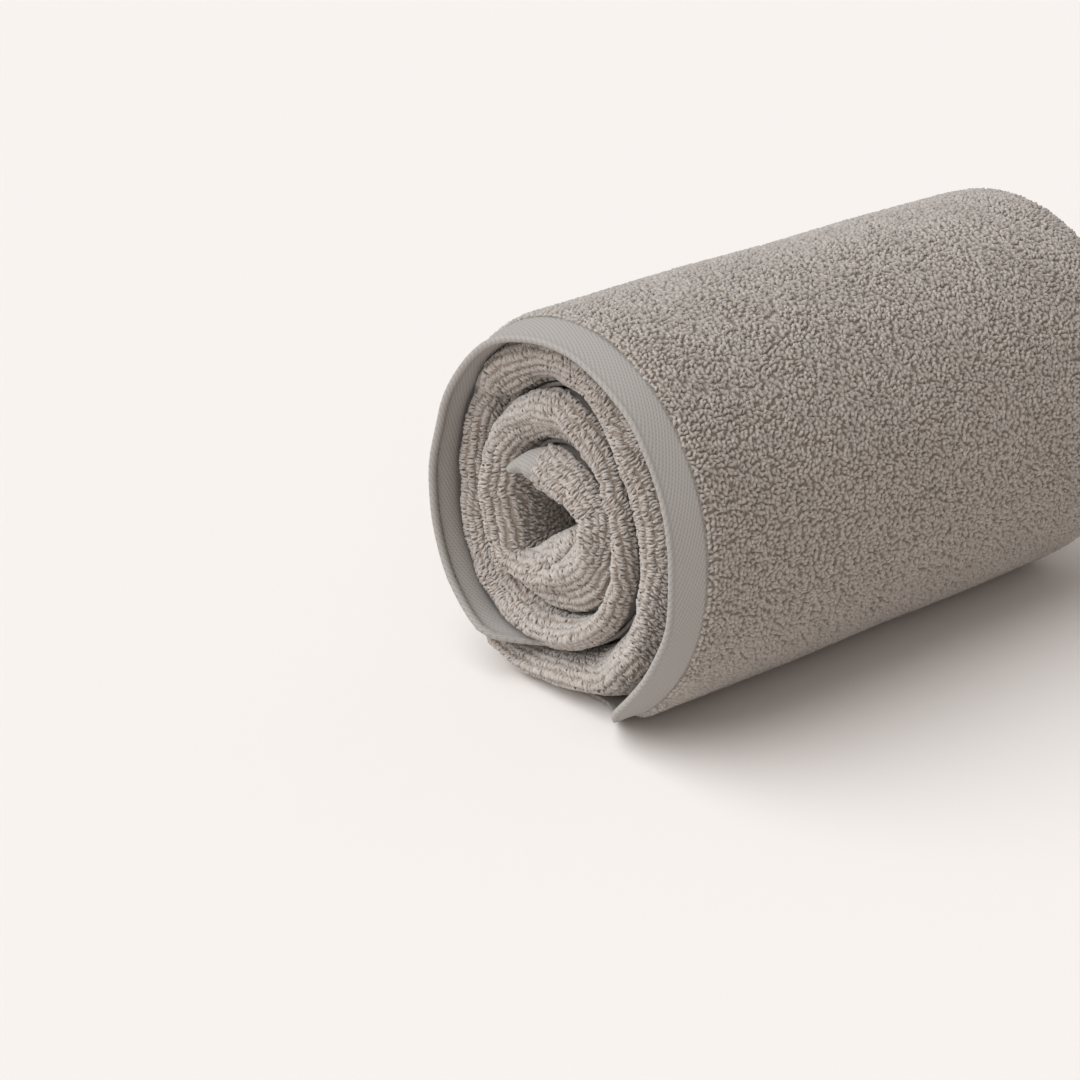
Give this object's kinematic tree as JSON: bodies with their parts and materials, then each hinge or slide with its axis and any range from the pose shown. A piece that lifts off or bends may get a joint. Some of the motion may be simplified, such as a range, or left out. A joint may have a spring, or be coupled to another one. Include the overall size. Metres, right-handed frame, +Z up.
{
  "type": "rolled spa towel",
  "caption": "Thick terry bath towel, folded lengthwise and rolled up, lying on its side, with a flat woven hem standing proud at its open end.",
  "frame": {"origin": "middle of the bounding box, on the surface that the roll rests on", "axes": "+Z up, the roll's axis along Y, the open hemmed end facing -Y; the cloth starts low on the -X side, passes underneath and winds towards +X, then up"},
  "size_m": [0.1476, 0.241, 0.1506],
  "materials": {
    "terry": "looped cotton terry, warm grey-taupe, matt",
    "hem_band": "flat twill-woven cotton hem, slightly lighter than the terry",
    "hem_thread": "cotton sewing thread"
  },
  "bodies": {
    "root": {"towel_roll": "terry"}
  },
  "joints": []
}
